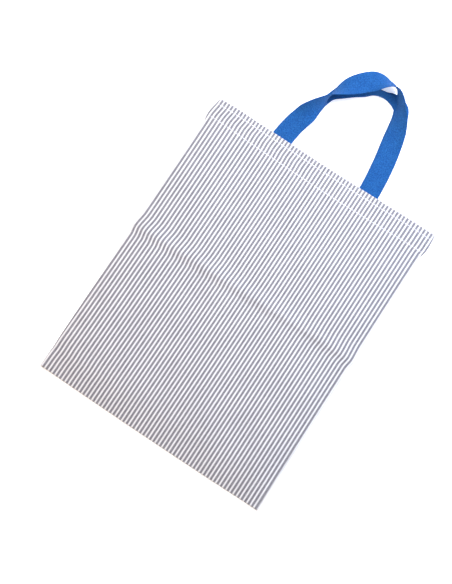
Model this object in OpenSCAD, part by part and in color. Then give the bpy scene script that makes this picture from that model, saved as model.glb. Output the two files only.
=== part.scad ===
// Flat cotton tote bag with two webbing handles, lying on its back.
// X runs across the bag, +Y from the bottom seam to the handles, +Z up.
// The origin is at the bottom of the bounding box, in its middle.

/* [Bag] */
// Width of the bag below the hem
bag_w = 300; // [280:5:320]
// Height of the bag from the bottom seam to the mouth
bag_h = 380; // [360:5:420]
// How far the crease lies below the mouth
crease_depth = 182; // [170:1:190]
// Thickness of the striped cotton
cloth = 0.5; // [0.4:0.05:0.6]

/* [Hem] */
// Depth of the turned-over hem
hem_h = 30; // [28:1:34]
// How far the hem stands out past each side edge
hem_flare = 1.5; // [0:0.5:3]
// How far the upper stitch row lies below the mouth
upper_row = 8; // [6:1:12]
// How far the lower stitch row lies below the mouth
lower_row = 27; // [20:1:27]
// Width of a row of sewing thread
thread = 0.6; // [0.4:0.1:0.8]

/* [Handles] */
// Thickness of the handle webbing
webbing = 1.2; // [1:0.1:1.4]
// Width of the handle webbing
webbing_w = 25; // [23:1:26]
// Distance from the bag's middle to the middle of each sewn-in end
end_x = 60; // [58:1:64]
// Smooth steps between two stations of a handle
handle_steps = 4; // [2:1:6]

/* [Layers] */
// Free height between the two hem facings at the mouth
mouth_gap = 4.7; // [4.5:0.1:6]
// Width of the sloping strip along each side of the front
slope_w = 38; // [30:1:40]
// Length of the sloping part above the bottom seam
slope_h = 50; // [40:1:70]
// Width of the seam allowances
allowance = 10; // [8:1:12]
// Depth of the bottom seam allowance
bottom_allowance = 30; // [20:1:34]

/* [Hidden] */

// Stations of a handle: x, height above the mouth, z, roll in degrees, visible webbing width.
// Roll 0 lies flat, 90 stands on edge with the outer edge up, 180 lies flat with its other face up.
front_loop = [
    [-61.5, 0.3, 5.1, 0, 25], [-58.6, 20, 5.2, 0, 25], [-54.2, 34, 7.6, 10, 25], [-49.2, 47.5, 12.4, 50, 25],
    [-43.8, 59.5, 15.4, 75, 25], [-40.2, 69.5, 16.4, 99, 25], [-33.5, 80.5, 17.5, 130, 25],
    [-24.5, 93.5, 18, 164, 25], [-14.6, 104.2, 18, 178, 25], [-5.5, 112.2, 18, 172, 25],
    [2.7, 117.1, 17.5, 150, 25], [10.5, 119, 17, 128, 25], [17.5, 119.5, 17.5, 115, 25],
    [24, 117, 17.6, 96, 25], [30.5, 111.5, 16.8, 85, 25], [37, 103, 15.2, 73, 25],
    [43.5, 90, 13, 52, 25], [48.5, 75, 9.5, 32, 25], [52, 58, 7, 15, 25],
    [55.5, 40, 5.7, 4, 25], [58, 20, 5.2, 0, 25], [59.5, 0.3, 5.1, 0, 25]
];
back_loop = [
    [-61, 0.3, 1.6, 0, 25], [-58.6, 20, 1.2, 0, 25], [-54.9, 35, 1, 0, 24], [-50.5, 50, 1, 0, 17],
    [-44.5, 61.5, 1, 0, 10], [-40, 74.5, 1.5, 8, 10], [-32.3, 84.9, 3.5, 20, 16],
    [-22, 94.2, 5, 28, 18], [-9.5, 101, 6, 38, 16], [-0.5, 105.5, 6.2, 54, 12],
    [7, 107.8, 5.7, 56, 10], [14, 109.6, 4, 38, 9], [21.5, 111, 2.3, 14, 12.5],
    [30, 110, 1.4, 4, 16], [38, 105.5, 1.1, 0, 18], [42.5, 95.5, 1, 0, 19],
    [46.2, 83.5, 1, 0, 22], [49.5, 70, 1, 0, 24.5], [54.5, 44, 1, 0, 25], [57.8, 20, 1.2, 0, 25],
    [59.5, 0.3, 1.6, 0, 25]
];

// Layer heights, from the table up
facing_top = 2 * cloth;                          // top of the back facing
front_facing_z = facing_top + mouth_gap;         // underside of the front facing
front_z = front_facing_z + cloth;                // underside of the front panel
edge_front_z = 3 * cloth + cloth / 10;           // underside of the front cloth at the side seam
edge_facing_z = 2 * cloth + cloth / 10;          // underside of the front facing at the side seam
half_w = bag_w / 2;
flap_half = half_w - slope_w;                    // half width of the part of the front that opens
part_gap = 0.3;                                  // clearance between parts that move apart
thread_t = 0.3;                                  // height of the sewing thread
overlock_w = 2;                                  // width of the overlocked edge

function cross3(a, b) = [
    a.y * b.z - a.z * b.y, a.z * b.x - a.x * b.z, a.x * b.y - a.y * b.x
];

// Catmull-Rom point between b and c
function smooth(a, b, c, d, t) =
    0.5 * (2 * b + (c - a) * t + (2 * a - 5 * b + 4 * c - d) * t * t
        + (3 * b - a - 3 * c + d) * t * t * t);

// Stations filled in with smooth steps; past an end the line runs straight on
function fill(s, n) = let (last = len(s) - 1) concat(
    [for (i = [0:last - 1], k = [0:n - 1])
        smooth(i > 0 ? s[i - 1] : 2 * s[0] - s[1], s[i], s[i + 1],
            i + 2 <= last ? s[i + 2] : 2 * s[last] - s[last - 1], k / n)],
    [s[last]]);

function place(q) = [q.x, q.y, q.z];
function unit(v) = v / norm(v);

// Direction of the webbing at station i; both ends run square to the mouth
function heading(s, i) =
    i == 0 ? [0, 1, 0]
    : i == len(s) - 1 ? [0, -1, 0]
    : unit(place(s[i + 1]) - place(s[i - 1]));

// Direction across the webbing at station i
function across(s, i) =
    let (t = heading(s, i), left = unit([-t.y, t.x, 0]), up = cross3(t, left))
    cos(s[i][3]) * left + sin(s[i][3]) * up;

// The four corners of the webbing's section at station i
function section(s, i) =
    let (c = place(s[i]), a = across(s, i) * s[i][4] / 2,
        n = cross3(heading(s, i), across(s, i)) * webbing / 2)
    [c + a + n, c - a + n, c - a - n, c + a - n];

function loop_points(stations) =
    let (s = fill(stations, handle_steps)) [for (i = [0:len(s) - 1]) each section(s, i)];

// The frame's origin is under the middle of the whole length
handle_reach = max([for (p = loop_points(front_loop)) p.y]);
mouth_y = (bag_h - handle_reach) / 2;

module loop(stations) {
    points = loop_points(stations);
    rings = len(points) / 4;
    // Both broad faces are split along the same diagonal, so that a twist can't pinch them
    sides = [for (r = [0:rings - 2], k = [0:3])
        let (a = 4 * r + k, b = 4 * r + (k + 1) % 4)
        each k == 2 ? [[a, b, a + 4], [b, b + 4, a + 4]] : [[a, b, b + 4], [a, b + 4, a + 4]]];
    first_cap = [3, 2, 1, 0];
    last_cap = [for (k = [0:3]) 4 * (rings - 1) + k];
    polyhedron(points, concat(sides, [first_cap, last_cap]), convexity = 6);
}

// Everything is drawn with the mouth at y = 0, then moved into the frame
module in_frame() translate([0, mouth_y, 0]) children();

// A flat layer between two x, two y and two z values
module layer(x0, x1, y0, y1, z0, z1) translate([x0, y0, z0]) cube([x1 - x0, y1 - y0, z1 - z0]);

// An XZ outline drawn along Y from y0 to y1
module along_y(y0, y1) translate([0, y1, 0]) rotate([90, 0, 0]) linear_extrude(y1 - y0) children();

// Outline of a strip of thread at height z that steps by rise over each handle end
module thread_outline(half, z, rise, t) {
    over = webbing_w / 2 + t;
    difference() {
        union() {
            translate([-half, z]) square([2 * half, t]);
            for (side = [-1, 1]) translate([side * end_x - over, z]) square([2 * over, rise + t]);
        }
        for (side = [-1, 1]) translate([side * end_x - webbing_w / 2, z]) square([webbing_w, rise]);
    }
}

// One sloping layer on the left, from the side edge up to the flap
module slope_outline(z_edge, z_flap, t, edge_x) polygon([
    [-edge_x, z_edge], [-flap_half - part_gap, z_flap],
    [-flap_half - part_gap, z_flap + t], [-edge_x, z_edge + t]
]);

// One stitch row, as a strip of thread along an XZ outline
module row(depth) along_y(-depth - thread / 2, -depth + thread / 2) children();

module back_panel_upper() color("lavender") in_frame() linear_extrude(cloth) polygon([
    [-half_w, -crease_depth], [half_w, -crease_depth], [half_w, -hem_h - 3],
    [half_w + hem_flare, -hem_h], [half_w + hem_flare, 0], [-half_w - hem_flare, 0],
    [-half_w - hem_flare, -hem_h], [-half_w, -hem_h - 3]
]);

module back_hem_facing() color("lavender") in_frame()
    layer(-half_w, half_w, -hem_h, 0, cloth, facing_top);

module back_handle_end(side) color("royalblue") in_frame()
    layer(side * end_x - webbing_w / 2, side * end_x + webbing_w / 2, -hem_h + 1, 0,
        facing_top, facing_top + webbing);

module back_stitch(depth) color("white") in_frame()
    row(depth) thread_outline(half_w - allowance, facing_top, webbing, thread_t);

module front_side() along_y(-crease_depth, 0)
    slope_outline(edge_front_z, front_z, cloth, half_w);

module front_panel_side_left() color("lavender") in_frame() front_side();
module front_panel_side_right() color("lavender") in_frame() mirror([1, 0, 0]) front_side();

// The hem's facing beside the flap, with the ends of both stitch rows on top of the front
module hem_corner() {
    along_y(-hem_h, 0) slope_outline(edge_facing_z, front_facing_z, cloth * 0.8, half_w);
    for (depth = [upper_row, lower_row])
        row(depth) slope_outline(edge_front_z + cloth, front_z + cloth, thread_t, half_w);
}

module hem_corner_left() color("white") in_frame() hem_corner();
module hem_corner_right() color("white") in_frame() mirror([1, 0, 0]) hem_corner();

module side_seam(y0, y1) layer(-half_w, -half_w + allowance, y0, y1, cloth, 3 * cloth);

module overlock(y0, y1) layer(-half_w + allowance, -half_w + allowance + overlock_w, y0, y1,
    cloth, 3 * cloth);

seam_top = -hem_h - part_gap;
lower_top = -crease_depth - part_gap;
seam_bottom = -bag_h + bottom_allowance + overlock_w;

module side_seam_left_upper() color("gainsboro") in_frame() side_seam(-crease_depth, seam_top);
module side_seam_right_upper() color("gainsboro") in_frame()
    mirror([1, 0, 0]) side_seam(-crease_depth, seam_top);
module overlock_left_upper() color("white") in_frame() overlock(-crease_depth, seam_top);
module overlock_right_upper() color("white") in_frame()
    mirror([1, 0, 0]) overlock(-crease_depth, seam_top);

module front_panel_centre() color("lavender") in_frame()
    layer(-flap_half, flap_half, -crease_depth, 0, front_z, front_z + cloth);

module front_hem_facing() color("lavender") in_frame()
    layer(-flap_half, flap_half, -hem_h, 0, front_facing_z, front_z);

module front_handle_end(side) color("royalblue") in_frame()
    layer(side * end_x - webbing_w / 2, side * end_x + webbing_w / 2, -hem_h + 1, 0,
        front_facing_z - webbing, front_facing_z);

module front_stitch(depth) color("white") in_frame()
    row(depth) translate([-flap_half, front_z + cloth]) square([2 * flap_half, thread_t]);

module back_panel_lower() color("lavender") in_frame()
    layer(-half_w, half_w, -bag_h, lower_top, 0, cloth);

// The lower front cloth: flat in the middle, sloping to the side seams and the bottom seam
module front_panel_lower() {
    xs = [-half_w, -flap_half, flap_half, half_w];
    ys = [-bag_h, -bag_h + slope_h, lower_top];
    nx = len(xs);
    top_count = nx * len(ys);
    function height(i, j) = (i == 0 || i == nx - 1 || j == 0) ? edge_front_z : front_z;
    points = [for (t = [cloth, 0], j = [0:len(ys) - 1], i = [0:nx - 1])
        [xs[i], ys[j], height(i, j) + t]];
    function at(i, j) = j * nx + i;
    top = [for (j = [0:len(ys) - 2], i = [0:nx - 2]) each
        i == 0
            ? [[at(i, j), at(i, j + 1), at(i + 1, j + 1)], [at(i, j), at(i + 1, j + 1), at(i + 1, j)]]
            : [[at(i, j), at(i, j + 1), at(i + 1, j)], [at(i + 1, j), at(i, j + 1), at(i + 1, j + 1)]]];
    bottom = [for (f = top) [f[2], f[1], f[0]] + [1, 1, 1] * top_count];
    rim = concat([for (i = [0:nx - 1]) at(i, 0)], [for (j = [1:len(ys) - 1]) at(nx - 1, j)],
        [for (i = [nx - 2:-1:0]) at(i, len(ys) - 1)], [for (j = [len(ys) - 2:-1:1]) at(0, j)]);
    walls = [for (k = [0:len(rim) - 1]) let (a = rim[k], b = rim[(k + 1) % len(rim)])
        [a, b, b + top_count, a + top_count]];
    color("lavender") in_frame() polyhedron(points, concat(top, bottom, walls), convexity = 4);
}

module side_seam_left_lower() color("gainsboro") in_frame() side_seam(seam_bottom, lower_top);
module side_seam_right_lower() color("gainsboro") in_frame()
    mirror([1, 0, 0]) side_seam(seam_bottom, lower_top);
module overlock_left_lower() color("white") in_frame() overlock(seam_bottom, lower_top);
module overlock_right_lower() color("white") in_frame()
    mirror([1, 0, 0]) overlock(seam_bottom, lower_top);

module bottom_seam() color("gainsboro") in_frame()
    layer(-half_w, half_w, -bag_h, -bag_h + bottom_allowance, cloth, 3 * cloth);

module overlock_bottom() color("white") in_frame()
    layer(-half_w, half_w, -bag_h + bottom_allowance, seam_bottom, cloth, 3 * cloth);

module front_handle() color("royalblue") in_frame() loop(front_loop);
module back_handle() color("mediumblue") in_frame() loop(back_loop);

back_panel_upper();
back_hem_facing();
back_handle_end(-1);  // back_handle_end_left
back_handle_end(1);  // back_handle_end_right
back_stitch(upper_row);  // back_hem_stitch_upper
back_stitch(lower_row);  // back_hem_stitch_lower
front_panel_side_left();
front_panel_side_right();
hem_corner_left();
hem_corner_right();
side_seam_left_upper();
side_seam_right_upper();
overlock_left_upper();
overlock_right_upper();
front_panel_centre();
front_hem_facing();
front_handle_end(-1);  // front_handle_end_left
front_handle_end(1);  // front_handle_end_right
front_stitch(upper_row);  // front_hem_stitch_upper
front_stitch(lower_row);  // front_hem_stitch_lower
back_panel_lower();
front_panel_lower();
side_seam_left_lower();
side_seam_right_lower();
overlock_left_lower();
overlock_right_lower();
bottom_seam();
overlock_bottom();
front_handle();
back_handle();
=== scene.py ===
import math
import random

import bpy
import numpy as np
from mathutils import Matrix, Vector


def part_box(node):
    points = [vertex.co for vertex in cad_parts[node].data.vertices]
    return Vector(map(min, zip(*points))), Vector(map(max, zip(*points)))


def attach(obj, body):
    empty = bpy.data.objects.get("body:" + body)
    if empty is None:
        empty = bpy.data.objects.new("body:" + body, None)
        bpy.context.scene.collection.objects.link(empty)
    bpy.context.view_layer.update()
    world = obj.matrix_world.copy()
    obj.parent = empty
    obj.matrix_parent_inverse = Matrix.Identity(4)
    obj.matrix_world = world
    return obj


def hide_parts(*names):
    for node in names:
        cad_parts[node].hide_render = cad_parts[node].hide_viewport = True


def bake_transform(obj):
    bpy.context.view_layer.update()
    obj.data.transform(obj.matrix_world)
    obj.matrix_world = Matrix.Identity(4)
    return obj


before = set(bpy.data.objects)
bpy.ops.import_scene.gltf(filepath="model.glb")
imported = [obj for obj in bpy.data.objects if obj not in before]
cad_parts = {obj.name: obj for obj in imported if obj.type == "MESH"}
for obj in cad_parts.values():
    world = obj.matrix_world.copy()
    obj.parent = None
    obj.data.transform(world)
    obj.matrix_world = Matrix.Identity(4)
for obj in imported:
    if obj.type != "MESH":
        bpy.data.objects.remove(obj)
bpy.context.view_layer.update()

# ---------------------------------------------------------------- sizes, in millimetres
# x runs across the bag and v up from the mouth, so v is negative on the cloth.
MM = 0.001
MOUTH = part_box("back_panel_upper")[1].y / MM
BAG_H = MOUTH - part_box("back_panel_lower")[0].y / MM
HALF_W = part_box("back_panel_lower")[1].x / MM
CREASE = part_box("front_panel_centre")[0].y / MM - MOUTH
FRONT_Z = (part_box("front_panel_centre")[0].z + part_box("front_panel_centre")[1].z) / 2 / MM
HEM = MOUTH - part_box("back_hem_facing")[0].y / MM
WEBBING_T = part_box("back_handle_end_left")[1].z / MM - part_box("back_hem_facing")[1].z / MM

CLOTH_T = 0.45       # thickness of the cloth
BACK_Z = 0.27        # middle of the back cloth, on the table
SEAM_Z = 0.8         # height of the side and bottom seams
FRONT_R = 0.9        # how round the front's edge is
BACK_R = SEAM_Z - BACK_Z
EDGE_STEP = 0.35     # first row of the mesh in from a rounded edge
HEM_R = 0.3          # radius of the rolled mouth edge
HEM_INSET = 1.2      # the turned-over hem's ends lie this far in from the sides
SLOPE_W = 38         # the front rises over this width beside each side seam
SLOPE_H = 50         # and over this length above the bottom seam
RIDGE = 2.1          # height of the old fold across the middle
CREASE_ROWS = (0.6, 1.4, 3)  # how far the mesh's close rows lie from the crease
FLARE_H = 33         # the hem stands out past the side seams above this depth
STRIPE = 4.57        # from one stripe to the next
BLUE_HALF = 1.27     # half the width of a blue stripe
BLUE_SOFT = 0.15     # how soft its edge is, to either side
SIDE_ALLOWANCE = 10.2     # width of the side seams' allowance
BOTTOM_ALLOWANCE = 29.5   # depth of the bottom seam's allowance
OVERLOCK = 2.6       # from one overlock stitch to the next
STITCH = 3.2         # from one hem stitch to the next
STITCH_LENGTH = 2.95
FRONT_THREAD_R = 0.46
BACK_THREAD_R = 0.26
OVERLOCK_THREAD_R = 0.17
HANDLE_HALF_W = 12.5
HANDLE_END_X = 60.5  # middle of a handle's sewn-in end


def smooth(t):
    """0 below 0 and 1 above 1, with a smooth step between."""
    t = np.clip(t, 0, 1)
    return t * t * (3 - 2 * t)


def swell(t):
    """0 at an edge, rising steeply and flattening out at 1."""
    return np.sin(np.clip(t, 0, 1) * math.pi / 2) ** 0.8


# ---------------------------------------------------------------- camera and lights
def make_camera():
    """Looks down on the bag from above its lower half."""
    camera = bpy.data.objects.new("camera", bpy.data.cameras.new("camera"))
    bpy.context.scene.collection.objects.link(camera)
    camera.location = (0.0552, MOUTH * MM - 0.2742, 1.0438)
    camera.rotation_euler = [math.radians(a) for a in (6.02, 0.77, 33.24)]
    camera.data.lens = 55.5
    camera.data.sensor_width = 36
    camera.data.clip_end = 50
    bpy.context.scene.camera = camera


def area_light(name, place, target, size, power, colour):
    light = bpy.data.lights.new(name, "AREA")
    light.shape = "DISK"
    light.size = size
    light.energy = power
    light.color = colour
    lamp = bpy.data.objects.new(name, light)
    bpy.context.scene.collection.objects.link(lamp)
    lamp.location = place
    direction = type(lamp.location)(target) - lamp.location
    lamp.rotation_euler = direction.to_track_quat("-Z", "Y").to_euler()


def make_world(strength, colour):
    world = bpy.data.worlds.new("world")
    bpy.context.scene.world = world
    world.use_nodes = True
    background = world.node_tree.nodes["Background"]
    background.inputs["Color"].default_value = (*colour, 1)
    background.inputs["Strength"].default_value = strength


# ---------------------------------------------------------------- materials
class Nodes:
    """A short way to write a material's node tree."""

    def __init__(self, name):
        self.material = bpy.data.materials.new(name)
        self.material.use_nodes = True
        self.tree = self.material.node_tree
        self.shader = self.tree.nodes["Principled BSDF"]

    def node(self, kind, **settings):
        made = self.tree.nodes.new(kind)
        for key, value in settings.items():
            setattr(made, key, value)
        return made

    def link(self, value, socket):
        if isinstance(value, bpy.types.NodeSocket):
            self.tree.links.new(value, socket)
        else:
            socket.default_value = value

    def math(self, operation, a, b=0.0, c=0.0):
        made = self.node("ShaderNodeMath", operation=operation)
        for value, socket in zip((a, b, c), made.inputs):
            self.link(value, socket)
        return made.outputs[0]

    def ramp(self, value, low, high, start=0.0, end=1.0):
        """start at low, end at high, smooth in between."""
        made = self.node("ShaderNodeMapRange", interpolation_type="SMOOTHSTEP")
        for given, socket in zip((value, low, high, start, end), made.inputs):
            self.link(given, socket)
        return made.outputs[0]

    def mix(self, share, a, b):
        made = self.node("ShaderNodeMix", data_type="RGBA")
        self.link(share, made.inputs["Factor"])
        self.link(a, made.inputs["A"])
        self.link(b, made.inputs["B"])
        return made.outputs["Result"]

    def scale_colour(self, colour, amount):
        made = self.node("ShaderNodeVectorMath", operation="SCALE")
        self.link(colour[:3] if isinstance(colour, tuple) else colour, made.inputs[0])
        self.link(amount, made.inputs["Scale"])
        return made.outputs[0]

    def cloth_place(self):
        """Across and along the cloth, in millimetres."""
        split = self.node("ShaderNodeSeparateXYZ")
        self.link(self.node("ShaderNodeUVMap", uv_map="cloth").outputs[0], split.inputs[0])
        return [self.math("MULTIPLY", metres, 1 / MM) for metres in split.outputs[:2]]

    def noise(self, across, along, scale_across, scale_along, detail=2.0):
        place = self.node("ShaderNodeCombineXYZ")
        self.link(self.math("MULTIPLY", across, scale_across), place.inputs[0])
        self.link(self.math("MULTIPLY", along, scale_along), place.inputs[1])
        made = self.node("ShaderNodeTexNoise")
        self.link(place.outputs[0], made.inputs["Vector"])
        made.inputs["Scale"].default_value = 1.0
        made.inputs["Detail"].default_value = detail
        return made.outputs["Fac"]

    def weave(self, across, along, warp_pitch, weft_pitch):
        """Plain weave, pitches in mm: the share of warp on top, and the height of the threads."""
        warp = self.math("SINE", self.math("MULTIPLY", across, math.pi / warp_pitch))
        weft = self.math("SINE", self.math("MULTIPLY", along, math.pi / weft_pitch))
        product = self.math("MULTIPLY", warp, weft)
        over = self.ramp(product, -0.8, -0.25)
        height = self.math("POWER", self.math("ABSOLUTE", product), 0.5)
        return over, height

    def bump(self, height, strength, distance):
        made = self.node("ShaderNodeBump")
        self.link(height, made.inputs["Height"])
        made.inputs["Strength"].default_value = strength
        made.inputs["Distance"].default_value = distance
        self.link(made.outputs[0], self.shader.inputs["Normal"])

    def finish(self, colour, roughness, sheen, specular):
        self.link(colour, self.shader.inputs["Base Color"])
        self.link(roughness, self.shader.inputs["Roughness"])
        self.shader.inputs["Sheen Weight"].default_value = sheen
        self.shader.inputs["Sheen Roughness"].default_value = 0.5
        self.shader.inputs["Specular IOR Level"].default_value = specular
        return self.material


WHITE_YARN = (0.81, 0.81, 0.81, 1)
BLUE_YARN = (0.13, 0.127, 0.155, 1)
WEBBING_DYED = (0.015, 0.110, 0.355, 1)
WEBBING_WORN = (0.026, 0.158, 0.43, 1)
WEBBING_DEEP = (0.011, 0.090, 0.305, 1)
THREAD_WHITE = (0.88, 0.88, 0.9, 1)
PAPER_WHITE = (0.96, 0.96, 0.955, 1)


def striped_cotton():
    """Yarn-dyed stripes in a plain weave with a white weft, with painted shade in the weave's hollows."""
    n = Nodes("striped_cotton")
    across, along = n.cloth_place()
    wander = n.math("MULTIPLY", n.math("SUBTRACT", n.noise(across, along, 0.9, 0.25), 0.5), 0.35)
    count = n.math("DIVIDE", n.math("ADD", across, wander), STRIPE)
    # the half puts the middle of a blue stripe at a whole count, and the thousand keeps it above 0
    phase = n.math("FRACT", n.math("ADD", count, 1000.5))
    off_middle = n.math("MULTIPLY", n.math("ABSOLUTE", n.math("SUBTRACT", phase, 0.5)), STRIPE)
    blue = n.ramp(off_middle, BLUE_HALF - BLUE_SOFT, BLUE_HALF + BLUE_SOFT, start=1.0, end=0.0)
    over, height = n.weave(across, along, 0.34, 0.4)
    streak = n.ramp(n.noise(across, along, 2.9, 0.05), 0.3, 0.7, start=0.9, end=1.08)
    patch = n.ramp(n.noise(across, along, 0.03, 0.03), 0.3, 0.7, start=0.97, end=1.02)
    warp = n.scale_colour(n.mix(blue, WHITE_YARN, BLUE_YARN), streak)
    yarn = n.mix(n.math("MULTIPLY_ADD", over, 0.92, 0.06), WHITE_YARN, warp)
    # painted shade: the colour is darkened in the weave's hollows, times the patch noise, a random patchy
    # tone of the cloth
    hollow_shade = n.math("MULTIPLY", n.ramp(height, 0.0, 0.6, start=0.82), patch)
    n.bump(n.math("ADD", height, n.math("MULTIPLY", blue, 0.15)), 0.35, 0.00012)
    return n.finish(n.scale_colour(yarn, hollow_shade), roughness=0.88, sheen=0.12, specular=0.2)


def blue_webbing():
    """Ribbed cotton webbing with a firm edge on each side, and painted shade in the weave's hollows."""
    n = Nodes("blue_webbing")
    across, along = n.cloth_place()
    over, height = n.weave(across, along, 0.85, 1.25)
    edge = n.ramp(n.math("ABSOLUTE", across), 10.9, 11.3)
    fibre = n.ramp(n.noise(across, along, 0.7, 0.55, detail=4.0), 0.32, 0.7, start=0.76, end=1.22)
    worn = n.ramp(n.noise(across, along, 0.12, 0.08), 0.35, 0.7)
    colour = n.mix(n.math("MULTIPLY", worn, 0.35), WEBBING_DYED, WEBBING_WORN)
    colour = n.mix(n.math("MULTIPLY", over, 0.25), colour, WEBBING_DEEP)
    # painted shade: the colour is darkened in the weave's hollows
    hollow_shade = n.ramp(height, 0.0, 0.7, start=0.66)
    n.bump(n.math("ADD", height, n.math("MULTIPLY", edge, 0.6)), 0.6, 0.00028)
    shaded = n.scale_colour(n.scale_colour(colour, fibre), hollow_shade)
    return n.finish(shaded, roughness=0.85, sheen=0.02, specular=0.15)


def sewing_thread():
    """White two-ply thread: the plies turn round it, with painted shade in the grooves between them."""
    n = Nodes("white_thread")
    along, around = n.cloth_place()
    ply_turn = 0.55
    slant = n.math("MULTIPLY", n.math("ADD", along, around), 2 * math.pi / ply_turn)
    ply = n.math("POWER", n.math("ABSOLUTE", n.math("SINE", slant)), 0.6)
    n.bump(ply, 0.5, 0.00008)
    # painted shade: the thread is darker in the grooves between its plies
    colour = n.scale_colour(THREAD_WHITE, n.ramp(ply, 0.0, 0.7, start=0.8))
    return n.finish(colour, roughness=0.6, sheen=0.1, specular=0.35)


def white_paper():
    """Glows a little more further out, so that it stays white past the lamps' reach."""
    n = Nodes("white_paper")
    away = n.node("ShaderNodeVectorMath", operation="LENGTH")
    n.link(n.node("ShaderNodeNewGeometry").outputs["Position"], away.inputs[0])
    n.shader.inputs["Emission Color"].default_value = (1, 1, 1, 1)
    glow = n.ramp(away.outputs["Value"], 0.4, 1.8, start=0.4, end=0.85)
    n.link(glow, n.shader.inputs["Emission Strength"])
    return n.finish(PAPER_WHITE, roughness=0.9, sheen=0.0, specular=0.1)


# ---------------------------------------------------------------- meshes
def make_floor():
    """A round sheet of paper that curves up at its edge; sizes in metres."""
    flat_r, under, sides = 4.0, 0.0003, 64
    bends = (0.3, 0.6, 0.9, 1.2, math.pi / 2)
    rings = [(0.0, 0.0), (flat_r, 0.0)] + [(flat_r + math.sin(a), 1 - math.cos(a)) for a in bends]
    points = [(r * math.cos(a), r * math.sin(a), z - under)
              for r, z in rings for a in np.linspace(0, 2 * math.pi, sides, endpoint=False)]
    mesh = bpy.data.meshes.new("floor")
    mesh.from_pydata(points, [], grid_faces(len(rings), sides, closed=True))
    mesh.polygons.foreach_set("use_smooth", [True] * len(mesh.polygons))
    mesh.materials.append(white_paper())
    floor = bpy.data.objects.new("floor", mesh)
    bpy.context.scene.collection.objects.link(floor)


def make_piece(name, points, uvs, faces, material):
    """points in mm with v measured from the mouth; uvs in mm, one per point."""
    mesh = bpy.data.meshes.new(name)
    points = np.array(points, float)
    points[:, 1] += MOUTH
    mesh.from_pydata((points * MM).tolist(), [], faces)
    layer = mesh.uv_layers.new(name="cloth")
    corners = np.array([loop.vertex_index for loop in mesh.loops])
    layer.data.foreach_set("uv", (np.asarray(uvs, float)[corners] * MM).ravel())
    mesh.polygons.foreach_set("use_smooth", [True] * len(mesh.polygons))
    mesh.materials.append(material)
    made = bpy.data.objects.new(name, mesh)
    bpy.context.scene.collection.objects.link(made)
    return made


def make_cloth(name, points, uvs, material, flip=False):
    """A striped piece from rows of points, with as many points in each row."""
    points, uvs = np.array(points), np.array(uvs)
    faces = grid_faces(*points.shape[:2], flip=flip)
    return make_piece(name, points.reshape(-1, 3), uvs.reshape(-1, 2), faces, material)


def grid_faces(rows, cols, closed=False, flip=False):
    """Quads between rows of points; closed joins the last column to the first."""
    faces = []
    for r in range(rows - 1):
        row, next_row = r * cols, (r + 1) * cols
        for c in range(cols if closed else cols - 1):
            d = (c + 1) % cols
            quad = (row + c, row + d, next_row + d, next_row + c)
            faces.append(quad[::-1] if flip else quad)
    return faces


def thicken(piece, thickness):
    """Give a sheet its thickness, half of it to each side."""
    modifier = piece.modifiers.new("thickness", "SOLIDIFY")
    modifier.thickness = thickness * MM
    modifier.offset = 0
    graph = bpy.context.evaluated_depsgraph_get()
    mesh = bpy.data.meshes.new_from_object(piece.evaluated_get(graph))
    mesh.name = piece.name
    piece.modifiers.clear()
    piece.data = mesh


def spread(marks, step):
    """Values from the first mark to the last, no more than step apart."""
    found = []
    for low, high in zip(marks, marks[1:]):
        count = max(1, math.ceil(abs(high - low) / step))
        found += [low + (high - low) * k / count for k in range(count)]
    return found + [marks[-1]]


def along_path(path):
    """The unit heading at each point of a path, and each point's distance along it."""
    heading = np.gradient(path, axis=0)
    heading /= np.linalg.norm(heading, axis=1)[:, None]
    steps = np.linalg.norm(np.diff(path, axis=0), axis=1)
    return heading, np.concatenate([[0], np.cumsum(steps)])


# ---------------------------------------------------------------- shape of the cloth
rng = random.Random(7)
WAVE_TURN = 6.28  # about a full turn
WAVES = [(rng.uniform(0.5, 1.6) / 100, rng.uniform(0.4, 1.5) / 100, rng.uniform(0, WAVE_TURN))
         for _ in range(6)]


def waves(x, v):
    """Slight waves of the cloth, slanting one way and the other by turns."""
    total = 0
    for k, (across, along, start) in enumerate(WAVES):
        slant = (-1) ** k
        total = total + np.sin(WAVE_TURN * (across * x * slant + along * v) + start)
    return total * 0.13


def upper_row(x):
    """Where the hem's upper row of stitches runs."""
    return -7.1 - 0.2 * np.sin(x / 40)


def lower_row(x):
    """Where the lower row runs; it bows down in the middle."""
    return -23.6 - 4.0 * np.cos(np.clip((x - 15) / 170, -1, 1) * math.pi / 2) ** 0.7


def crease_line(x):
    """Where the old fold's ridge runs; it isn't quite square to the sides."""
    return CREASE + 2.5 + x / 60


def fold_share(x, v):
    """1 on the ridge, 0 away from it."""
    above = v - crease_line(x)
    return np.where(above > 0, 1 - smooth(above / 20), 1 - smooth(-above / 12))


def sideways(x, v):
    """How far the cloth lies pushed to the side: beside the fold, and on the right also well above it."""
    still_x = 55  # nothing is pushed here
    above = v - crease_line(x)
    share = fold_share(x, v)
    wide_share = np.where(above > 0, 0.65 * share + 0.35 * np.clip(1 - above / 140, 0, 1), share)
    pull_right = 1.6 * np.clip((x - still_x) / (HALF_W - still_x), 0, 1) * wide_share
    pull_left = 1.7 * np.clip((still_x - x) / (HALF_W + still_x), 0, 1) * share
    hem_left = 1.6 * smooth((v + 22) / 16) * smooth((-x - 70) / 80)
    hem_right = 0.8 * smooth((v + 31) / 9) * smooth((x - 105) / 45)
    hem_bulge = -0.55 * np.exp(-((v + 16) / 6) ** 2) * smooth((10 - x) / 50) * smooth((x + 140) / 30)
    foot = 0.45 * np.exp(-((v + 352) / 7) ** 2) * smooth((-x - 20) / 110)
    return pull_right - pull_left + hem_left + hem_right + hem_bulge + foot


def lengthways(x, v):
    """How far the mouth bows in, and the bottom seam at its corners."""
    mouth_bow = -2.6 * np.cos(np.clip((x - 35) / 165, -1, 1) * math.pi / 2) * smooth((v + 70) / 70)
    foot_bow = 1.2 * (x / HALF_W) ** 2 * smooth((-v - 330) / 50)
    return mouth_bow + foot_bow


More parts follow.
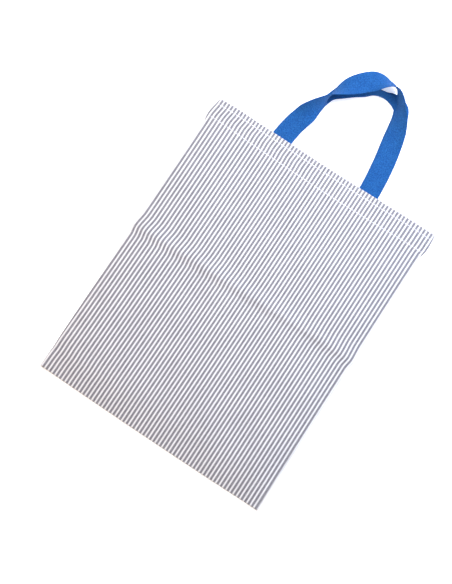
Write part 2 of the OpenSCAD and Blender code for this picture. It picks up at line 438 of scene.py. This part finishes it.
def flare(x, v):
    """The hem stands out past the side seams in a shallow curve."""
    curve = np.sin(np.clip(-v / FLARE_H, 0, 1) * math.pi)
    amount = np.where(x < 0, -1.2 - 1.3 * curve, 0.6 + 1.2 * curve)
    return amount * smooth((v + FLARE_H) / 5) * smooth((np.abs(x) - 100) / 50)


def stripe_place(x, v):
    """Across the cloth, so that the stripes lean, bow and spread a little.
    a runs from -1 at the left seam to 1 at the right, b from 0 at the mouth to 1 at the bottom."""
    a, b = x / HALF_W, -v / BAG_H
    drift = 1.05 - 2.4 * a - 1.3 * a ** 2 + 2.9 * a ** 3
    drift += b * (-0.75 - 2.2 * a + 0.45 * a ** 2 - 1.45 * a ** 3) + b * b * (5.75 * a - 1.6)
    last_stripe = 0.9 * smooth((x - 147.6) / 2.2) * smooth((-v - 26) / 8)
    return x - drift - last_stripe


def hem_shape(x, v):
    """Puckers between the stitch rows, and the dip along each row."""
    between = smooth((v - lower_row(x)) / 6) * smooth((upper_row(x) - v) / 5)
    low = smooth((lower_row(x) - v + 9) / 9) * smooth((v + 45) / 12)
    pucker = 0.22 * np.sin(x / 1.55 + 1.2 * np.sin(x / 23)) * between
    pucker += 0.12 * np.sin(x / 1.9 + 2 + np.sin(x / 17)) * low
    pucker += 0.1 * np.sin(x / 1.2 + np.sin(x / 31)) * smooth((v - upper_row(x)) / 3)
    dip = 0.22 * (np.exp(-((v - upper_row(x)) / 1.3) ** 2) + np.exp(-((v - lower_row(x)) / 1.3) ** 2))
    return pucker - dip


def front_height(x, v):
    """Middle of the front's outer layer, away from its rounded edge. The old fold's ridge runs across
    it, and the end of the bottom seam's allowance shows through."""
    side = HALF_W - np.abs(x)
    foot = BAG_H + v
    low = SEAM_Z + FRONT_R
    dome = swell(side / SLOPE_W) * np.sin(np.clip(foot / SLOPE_H, 0, 1) * math.pi / 2)
    ridge = RIDGE * fold_share(x, v) ** 1.5 * swell(side / 30)
    allowance = 0.25 * np.exp(-((foot - BOTTOM_ALLOWANCE - 0.5) / 4) ** 2) * swell(side / 30)
    groove = -0.1 * np.exp(-((v - CREASE) / 0.8) ** 2)
    hem = hem_shape(x, v) * smooth(side / 6)
    return low + (FRONT_Z - low) * dome + ridge + allowance + groove + hem + waves(x, v) * dome


def place_front(x, v, side_turn, foot_turn, drop, inset):
    """Points of the front cloth; the turns run from 0 at a seam to 1 past its rounding."""
    round_up = SEAM_Z + FRONT_R * side_turn * foot_turn
    z = round_up + (front_height(x, v) - SEAM_Z - FRONT_R) * side_turn * foot_turn - drop
    if inset:
        z = np.maximum(z, 1.3)
    px = x + flare(x, v) + sideways(x, v) - np.sign(x) * inset
    return np.stack([px, v + lengthways(x, v), z], -1)


def edge_in(radius):
    """(distance in from the seam, share of the rounding) for the columns on a rounded edge."""
    turns = [math.pi / 2 * k / 4 for k in range(5)]
    return [(radius * (1 - math.cos(a)), math.sin(a)) for a in turns]


def across_columns(low_edge, high_edge, step):
    """x and share of the rounding of each column; an edge that is a side seam is rounded."""
    xs, turns = [], []
    curl = edge_in(FRONT_R)
    marks = [low_edge, high_edge]
    if low_edge <= -HALF_W:
        xs += [-HALF_W + d for d, _ in curl]
        turns += [s for _, s in curl]
        marks[:1] = [-HALF_W + FRONT_R, -HALF_W + FRONT_R + EDGE_STEP]
    if high_edge >= HALF_W:
        marks[-1:] = [HALF_W - FRONT_R - EDGE_STEP, HALF_W - FRONT_R]
    middle = spread(marks, step)
    if xs:
        middle = middle[1:]
    xs += middle
    turns += [1.0] * len(middle)
    if high_edge >= HALF_W:
        xs += [HALF_W - d for d, _ in curl[-2::-1]]
        turns += [s for _, s in curl[-2::-1]]
    return np.array(xs), np.array(turns)


def mouth_roll():
    """Rows round the rolled mouth edge: v, way into the bag, inset from the sides."""
    rows = []
    for k in range(1, 6):
        a = math.pi * k / 6
        rows.append((-HEM_R + HEM_R * math.sin(a), HEM_R * (1 - math.cos(a)), 0.2 * k))
    return rows


def cloth_distances(start, rows):
    """Distance along the cloth at each row, from the row's v and its way into the bag."""
    found = [start]
    for before, after in zip(rows, rows[1:]):
        found.append(found[-1] + math.hypot(after[0] - before[0], after[1] - before[1]))
    return found


def upper_rows():
    """Rows of the upper front from the crease over the mouth edge to the end of the hem:
    v, drop below the outer layer, inset from the sides."""
    marks = [CREASE] + [CREASE + d for d in CREASE_ROWS] + [-36, -32, -30, -6, -HEM_R]
    rows = [(v, 0, 0) for v in spread(marks, 2)] + mouth_roll()
    rows += [(v, 2 * HEM_R, HEM_INSET) for v in spread([-HEM_R, -6, 1 - HEM], 2)]
    return rows + [(0.4 - HEM, 2 * HEM_R + 0.1, HEM_INSET), (-HEM, 2 * HEM_R + 0.35, HEM_INSET)]


def front_sheet(name, low_x, high_x, material):
    """Half of the front above the crease, turned over at the mouth."""
    xs, turns = across_columns(low_x, high_x, 2)
    rows = upper_rows()
    points, uvs = [], []
    for (v, drop, inset), s in zip(rows, cloth_distances(CREASE, rows)):
        vs = np.full(len(xs), v)
        points.append(place_front(xs, vs, turns, 1.0, drop, inset))
        uvs.append(np.stack([stripe_place(xs + flare(xs, vs), vs), np.full(len(xs), s)], -1))
    return make_cloth(name, points, uvs, material)


def lower_front_sheet(material):
    """The front below the crease."""
    xs, turns = across_columns(-HALF_W, HALF_W, 2)
    curl = edge_in(FRONT_R)
    foot = -BAG_H + FRONT_R
    marks = [foot, foot + EDGE_STEP] + [CREASE - d for d in CREASE_ROWS[::-1]] + [CREASE]
    rows = [(-BAG_H + d, s) for d, s in curl]
    rows += [(v, 1.0) for v in spread(marks, 2)[1:]]
    points, uvs = [], []
    for v, foot_turn in rows:
        vs = np.full(len(xs), v)
        points.append(place_front(xs, vs, turns, foot_turn, 0, 0))
        uvs.append(np.stack([stripe_place(xs, vs), vs], -1))
    return make_cloth("front_cloth_lower", points, uvs, material)


def back_height(x, v):
    """Middle of the back cloth, which the hem's facing lifts a little."""
    return BACK_Z + 0.14 * smooth((v + HEM + 4) / 4)


def back_sheet(material):
    """The whole back, turned over at the mouth."""
    curl = edge_in(BACK_R)
    xs = [-HALF_W + d for d, _ in curl] + spread([-HALF_W + BACK_R, HALF_W - BACK_R], 3)[1:-1]
    xs += [HALF_W - d for d, _ in curl[::-1]]
    lift = [1 - s for _, s in curl] + [0.0] * (len(xs) - 2 * len(curl)) + [1 - s for _, s in curl[::-1]]
    xs, lift = np.array(xs), np.array(lift)
    rows = [(-BAG_H + d, 0, 0, 1 - s) for d, s in curl]
    rows += [(v, 0, 0, 0) for v in spread([-BAG_H + BACK_R, CREASE, -36, -30, -HEM_R], 3)[1:]]
    rows += [(*row, 0) for row in mouth_roll()]
    rows += [(v, 2 * HEM_R, HEM_INSET, 0) for v in spread([-HEM_R, 1 - HEM], 3)]
    rows += [(-HEM, 2 * HEM_R + 0.3, HEM_INSET, 0)]
    points, uvs = [], []
    for (v, rise, inset, foot_lift), s in zip(rows, cloth_distances(-BAG_H, rows)):
        vs = np.full(len(xs), v)
        up = np.maximum(lift, foot_lift) if not inset else 0 * lift
        z = back_height(xs, vs) * (1 - up) + SEAM_Z * up + rise
        px = xs + flare(xs, vs) + sideways(xs, vs) - np.sign(xs) * inset
        points.append(np.stack([px, vs + lengthways(xs, vs), z], -1))
        uvs.append(np.stack([stripe_place(-xs, vs), np.full(len(xs), s)], -1))
    return make_cloth("back_cloth", points, uvs, material, flip=True)


# ---------------------------------------------------------------- sewing
def tube(path, radius, flat, sides, taper):
    """Points, uvs and faces of a short thread along a path; flat squeezes its height."""
    path = np.asarray(path, float)
    heading, length = along_path(path)
    side = np.cross(heading, [0.0, 0.0, 1.0])
    side /= np.maximum(np.linalg.norm(side, axis=1), 1e-9)[:, None]
    up = np.cross(side, heading)
    count = len(path)
    thick = np.full(count, radius)
    if taper:
        thick[0] = thick[-1] = radius * 0.45
    points, uvs = [], []
    for i in range(count):
        for k in range(sides):
            a = 2 * math.pi * k / sides
            points.append(path[i] + thick[i] * (math.cos(a) * side[i] + flat * math.sin(a) * up[i]))
            uvs.append((length[i], a * radius))
    faces = grid_faces(count, sides, closed=True, flip=True)
    faces += [tuple(range(sides)), tuple(range(count * sides - 1, (count - 1) * sides - 1, -1))]
    return points, uvs, faces


def threads(name, paths, radius, material, flat=0.75, sides=6, taper=True):
    """One piece from many short threads."""
    points, uvs, faces = [], [], []
    for path in paths:
        tube_points, tube_uvs, tube_faces = tube(path, radius, flat, sides, taper)
        faces += [tuple(len(points) + i for i in face) for face in tube_faces]
        points += tube_points
        uvs += tube_uvs
    return make_piece(name, points, uvs, faces, material)


def stitch_row(low_x, high_x, row, height, lift):
    """Paths of one row of stitches; height gives the surface and lift is to the thread's middle."""
    paths = []
    count = int((high_x - low_x) / STITCH)
    first = (low_x + high_x - (count - 1) * STITCH) / 2
    for i in range(count):
        x = first + i * STITCH + rng.uniform(-0.12, 0.12)
        xs = np.linspace(x - STITCH_LENGTH / 2, x + STITCH_LENGTH / 2, 5)
        vs = row(xs) + rng.uniform(-0.08, 0.08) + np.linspace(-0.05, 0.05, 5)
        arch = lift * np.array([-0.8, -0.1, 0, -0.1, -0.8])
        z = height(xs, vs) + lift + arch
        paths.append(np.stack([xs + flare(xs, vs) + sideways(xs, vs), vs + lengthways(xs, vs), z], -1))
    return paths


def beside_handles(x):
    """0 on the handles' sewn-in ends, 1 beside them."""
    return smooth((np.abs(np.abs(x) - HANDLE_END_X) - HANDLE_HALF_W - 0.1) / 0.6)


def front_stitches(side, material):
    """Both rows of one half of the front, outside and inside."""
    low, high = (-HALF_W + 1.5, -1) if side < 0 else (1, HALF_W - 1.5)
    strap_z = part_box("front_handle_end_left")[0].z / MM

    def inner(x, v):
        beside = beside_handles(x)
        hem_z = np.maximum(front_height(x, v) - 2 * HEM_R, 1.5)
        return hem_z * beside + (strap_z - 0.1) * (1 - beside)

    paths = []
    for row in (upper_row, lower_row):
        paths += stitch_row(low, high, row, front_height, CLOTH_T / 2 + 0.14)
        paths += stitch_row(low + 1.6, high - 1.6, row, inner, -CLOTH_T / 2 - 0.12)
    word = "left" if side < 0 else "right"
    return threads(f"front_stitches_{word}", paths, FRONT_THREAD_R, material)


def back_stitches(material):
    """Both rows of the back, outside and inside."""
    strap_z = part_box("back_handle_end_left")[1].z / MM

    def inner(x, v):
        beside = beside_handles(x)
        return (back_height(x, v) + 2 * HEM_R) * beside + (strap_z - CLOTH_T / 2) * (1 - beside)

    paths = []
    for row in (upper_row, lower_row):
        paths += stitch_row(-HALF_W + 1.5, HALF_W - 1.5, row, back_height, -CLOTH_T / 2 - 0.05)
        paths += stitch_row(-HALF_W + 3, HALF_W - 3, row, inner, CLOTH_T / 2 + 0.1)
    return threads("back_stitches", paths, BACK_THREAD_R, material, flat=0.6)


def seam_strip(name, side, material):
    """The side seam's allowance: two layers lying on the back cloth."""
    width = SIDE_ALLOWANCE
    vs = spread([-BAG_H + BOTTOM_ALLOWANCE + 1.5, CREASE - 12, CREASE + 12, -HEM - 0.5], 3)
    section = [(0.9, 0.78), (4, 0.76), (8, 0.8), (width, 0.9), (width + 0.15, 1.05),
               (width, 1.2), (8, 1.3), (4, 1.35), (0.9, 1.35)]
    points, uvs = [], []
    for v in vs:
        for d, z in section:
            x = side * (HALF_W - d)
            wave = 0.12 * math.sin(v / 9 + side) * d / width
            points.append((x + sideways(x, v), v, z + max(0, wave)))
            uvs.append((d * (1 if z < 1 else -1) + side * 60, v))
    faces = grid_faces(len(vs), len(section), flip=side > 0)
    strip = make_piece(name, points, uvs, faces, material)
    thicken(strip, CLOTH_T * 0.9)
    return strip


def overlock_paths(place, start, end):
    """Threads that slant over a cut edge, and their chain; place(along, inward, up) gives a point."""
    paths = []
    count = int(abs(end - start) / OVERLOCK)
    for i in range(count):
        a = start + (end - start) * i / count
        b = start + (end - start) * (i + 1) / count
        m = (a + b) / 2
        paths.append([place(a, 3.6, 1), place(a, 1.2, 1.15), place((a + m) / 2, -0.35, 0.6),
                      place(m, -0.45, 0), place(m, -0.35, -0.6)])
        paths.append([place(m, -0.35, 0.6), place(m, 1.2, 1.15), place(b, 3.6, 1)])
        paths.append([place(a, 3.7, 1.1), place(m, 3.9, 1.25), place(b, 3.7, 1.1)])
    return paths


def overlock(name, paths, material):
    """An overlocked edge from the paths of its threads."""
    return threads(name, paths, OVERLOCK_THREAD_R, material, sides=5, taper=False)


def side_overlock(name, side, material):
    """The overlocked edge of a side seam's allowance."""
    edge = HALF_W - SIDE_ALLOWANCE - 0.4

    def place(along, inward, up):
        x = side * (edge + inward)
        return (x + sideways(x, along), along, 1.15 + 0.42 * up)

    return overlock(name, overlock_paths(place, -BAG_H + BOTTOM_ALLOWANCE + 2.5, -HEM - 1), material)


def bottom_strip(material):
    """The bottom seam's deep allowance, two layers lying on the back cloth."""
    depth = BOTTOM_ALLOWANCE
    xs = spread([-HALF_W + 1.5, HALF_W - 1.5], 4)
    section = [(0.9, 0.8), (10, 0.76), (20, 0.78), (depth, 0.9), (depth + 0.15, 1.05),
               (depth, 1.2), (20, 1.32), (10, 1.35), (0.9, 1.35)]
    points, uvs = [], []
    for d, z in section:
        for x in xs:
            lift = 0.45 * smooth((abs(x) - HALF_W + 14) / 3) * (1 if d > 12 else 0.4)
            wave = max(0.0, 0.15 * math.sin(x / 11)) * d / depth
            points.append((x, -BAG_H + d, z + lift + wave))
            uvs.append((stripe_place(x, -BAG_H), d * (1 if z < 1 else -1)))
    faces = grid_faces(len(section), len(xs), flip=True)
    strip = make_piece("bottom_seam_allowance", points, uvs, faces, material)
    thicken(strip, CLOTH_T * 0.9)
    return strip


def bottom_overlock(material):
    """The overlocked edge of the bottom seam's allowance."""
    def place(along, inward, up):
        return (along, -BAG_H + BOTTOM_ALLOWANCE + 0.4 - inward, 1.2 + 0.45 * up)

    return overlock("bottom_overlock", overlock_paths(place, -HALF_W + 12, HALF_W - 12), material)


# ---------------------------------------------------------------- handles
# Stations: x, height above the mouth, z, roll in degrees, width
FRONT_LOOP = [
    (-61.5, 0.3, 5.1, 0, 25), (-58.6, 20, 5.2, 0, 25), (-54.2, 34, 7.6, 10, 25),
    (-49.2, 47.5, 12.4, 50, 25), (-43.8, 59.5, 15.4, 75, 25), (-40.2, 69.5, 16.4, 99, 25),
    (-33.5, 80.5, 17.5, 130, 25), (-24.5, 93.5, 18, 164, 25), (-14.6, 104.2, 18, 178, 25),
    (-5.5, 112.2, 18, 172, 25), (2.7, 117.1, 17.5, 150, 25), (10.5, 119, 17, 128, 25),
    (17.5, 119.5, 17.5, 115, 25), (24, 117, 17.6, 96, 25), (30.5, 111.5, 16.8, 85, 25),
    (37, 103, 15.2, 73, 25), (43.5, 90, 13, 52, 25), (48.5, 75, 9.5, 32, 25),
    (52, 58, 7, 15, 25), (55.5, 40, 5.7, 4, 25), (58, 20, 5.2, 0, 25), (59.5, 0.3, 5.1, 0, 25),
]
BACK_LOOP = [
    (-61, 0.3, 1.6, 0, 25), (-58.6, 20, 1.2, 0, 25), (-54.9, 35, 1, 0, 24), (-50.5, 50, 1, 0, 17),
    (-44.5, 61.5, 1, 0, 10), (-40, 74.5, 1.5, 8, 10), (-32.3, 84.9, 3.5, 20, 16),
    (-22, 94.2, 5, 28, 18), (-9.5, 101, 6, 38, 16), (-0.5, 105.5, 6.2, 54, 12),
    (7, 107.8, 5.7, 56, 10), (14, 109.6, 4, 38, 9), (21.5, 111, 2.3, 14, 12.5),
    (30, 110, 1.4, 4, 16), (38, 105.5, 1.1, 0, 18), (42.5, 95.5, 1, 0, 19),
    (46.2, 83.5, 1, 0, 22), (49.5, 70, 1, 0, 24.5), (54.5, 44, 1, 0, 25), (57.8, 20, 1.2, 0, 25),
    (59.5, 0.3, 1.6, 0, 25),
]


def through(stations, steps):
    """Catmull-Rom curve through the stations."""
    s = np.array(stations, float)
    s = np.vstack([2 * s[0] - s[1], s, 2 * s[-1] - s[-2]])
    found = []
    for a, b, c, d in zip(s, s[1:], s[2:], s[3:]):
        for t in np.arange(steps) / steps:
            found.append(0.5 * (2 * b + (c - a) * t + (2 * a - 5 * b + 4 * c - d) * t * t
                                + (3 * b - a - 3 * c + d) * t ** 3))
    return np.array(found + [s[-2]])


def webbing(name, loop, material):
    """A handle with its two sewn-in ends."""
    tail = HEM - 1.5
    first, last = loop[0], loop[-1]
    start = [(first[0], -tail, *first[2:]), (first[0], -tail / 2, *first[2:])]
    end = [(last[0], -tail / 2, *last[2:]), (last[0], -tail, *last[2:])]
    curve = through(start + list(loop) + end, 8)
    centre = curve[:, :3]
    heading, length = along_path(centre)
    left = np.stack([-heading[:, 1], heading[:, 0], 0 * heading[:, 0]], -1)
    left /= np.linalg.norm(left, axis=1)[:, None]
    up = np.cross(heading, left)
    roll = np.radians(curve[:, 3])[:, None]
    across = np.cos(roll) * left + np.sin(roll) * up
    normal = np.cross(heading, across)
    half_t = WEBBING_T / 2 * 0.96
    flat = np.linspace(-1, 1, 11)
    section = [(a, half_t) for a in flat] + [(1, half_t * s) for s in (0.5, -0.5)]
    section += [(a, -half_t) for a in flat[::-1]] + [(-1, -half_t * s) for s in (0.5, -0.5)]
    points, uvs = [], []
    for i in range(len(curve)):
        half_w = curve[i, 4] / 2
        for a, t in section:
            corner = abs(a) == 1 and abs(t) == half_t
            reach = a * (half_w - (0.35 if corner else 0))
            points.append(centre[i] + across[i] * reach + normal[i] * t * (0.75 if corner else 1.0))
            uvs.append((a * HANDLE_HALF_W, length[i]))
    faces = grid_faces(len(curve), len(section), closed=True)
    faces += [tuple(range(len(section)))[::-1], tuple(range(len(points) - len(section), len(points)))]
    return make_piece(name, points, uvs, faces, material)


def build_cloth(cotton):
    """The upper front in two halves, the lower front and the back."""
    left = front_sheet("front_cloth_left", -HALF_W, 0, cotton)
    right = front_sheet("front_cloth_right", 0, HALF_W, cotton)
    lower = lower_front_sheet(cotton)
    back = back_sheet(cotton)
    for piece in (left, right, lower, back):
        thicken(piece, CLOTH_T)
    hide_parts("front_panel_side_left", "front_panel_centre", "front_hem_facing", "hem_corner_left")
    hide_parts("front_panel_side_right", "hem_corner_right")
    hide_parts("front_panel_lower")
    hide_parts("back_panel_upper", "back_panel_lower", "back_hem_facing")
    return left, right, lower, back


def build_hem_stitches(left, right, white):
    """The hem's threads, in front for each half of the mouth and on the back; those on the back are
    attached to the upper body.
    """
    left_threads = front_stitches(-1, white)
    right_threads = front_stitches(1, white)
    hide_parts("front_hem_stitch_upper")
    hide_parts("front_hem_stitch_lower")
    for piece, side in ((left, -1), (left_threads, -1), (right, 1), (right_threads, 1)):
        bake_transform(piece)
    back_threads = back_stitches(white)
    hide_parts("back_hem_stitch_upper", "back_hem_stitch_lower")
    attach(back_threads, "upper_body")
    return left_threads, right_threads, back_threads


def build_seams(lower, back, cotton, white):
    """Seam allowances and overlock; the bottom seam's allowance and overlock are attached to the lower
    body.
    """
    folding = [lower, back]
    for side, word in ((-1, "left"), (1, "right")):
        strip = seam_strip(f"side_seam_allowance_{word}", side, cotton)
        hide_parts(f"side_seam_{word}_upper", f"side_seam_{word}_lower")
        edge = side_overlock(f"side_overlock_{word}", side, white)
        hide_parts(f"overlock_{word}_upper", f"overlock_{word}_lower")
        folding += [strip, edge]
    for piece in folding:
        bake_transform(piece)
    bottom = bottom_strip(cotton)
    bottom_edge = bottom_overlock(white)
    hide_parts("bottom_seam")
    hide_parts("overlock_bottom")
    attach(bottom, "lower_body")
    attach(bottom_edge, "lower_body")


def build_handles(blue):
    """Both handles, each with its two sewn-in ends."""
    front = webbing("front_handle_webbing", FRONT_LOOP, blue)
    rear = webbing("back_handle_webbing", BACK_LOOP, blue)
    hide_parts("front_handle", "front_handle_end_left", "front_handle_end_right")
    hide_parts("back_handle", "back_handle_end_left", "back_handle_end_right")
    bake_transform(front)
    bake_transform(rear)


def build():
    cotton, blue, white = striped_cotton(), blue_webbing(), sewing_thread()
    left, right, lower, back = build_cloth(cotton)
    left_threads, right_threads, back_threads = build_hem_stitches(left, right, white)
    build_seams(lower, back, cotton, white)
    build_handles(blue)


make_camera()
make_world(0.4, (0.92, 0.855, 0.805))
area_light("overhead", (0.09, 0.38, 0.80), (0.02, 0.1, 0), 0.5, 7.7, (0.84, 0.90, 1.0))
area_light("window_right", (0.55, 0.45, 0.60), (0, 0.1, 0), 0.9, 3.3, (0.46, 0.60, 1.0))
area_light("window_far", (-0.10, 0.85, 0.60), (0, 0.1, 0), 0.9, 2.1, (0.58, 0.70, 1.0))
area_light("window_left", (-0.60, 0.30, 0.60), (0, 0.1, 0), 0.9, 1.9, (0.95, 0.88, 0.94))
area_light("wall", (-0.45, -0.65, 0.70), (0, 0, 0), 0.6, 1.8, (1.0, 0.52, 0.18))
make_floor()
build()
bpy.context.scene.view_settings.view_transform = "Standard"
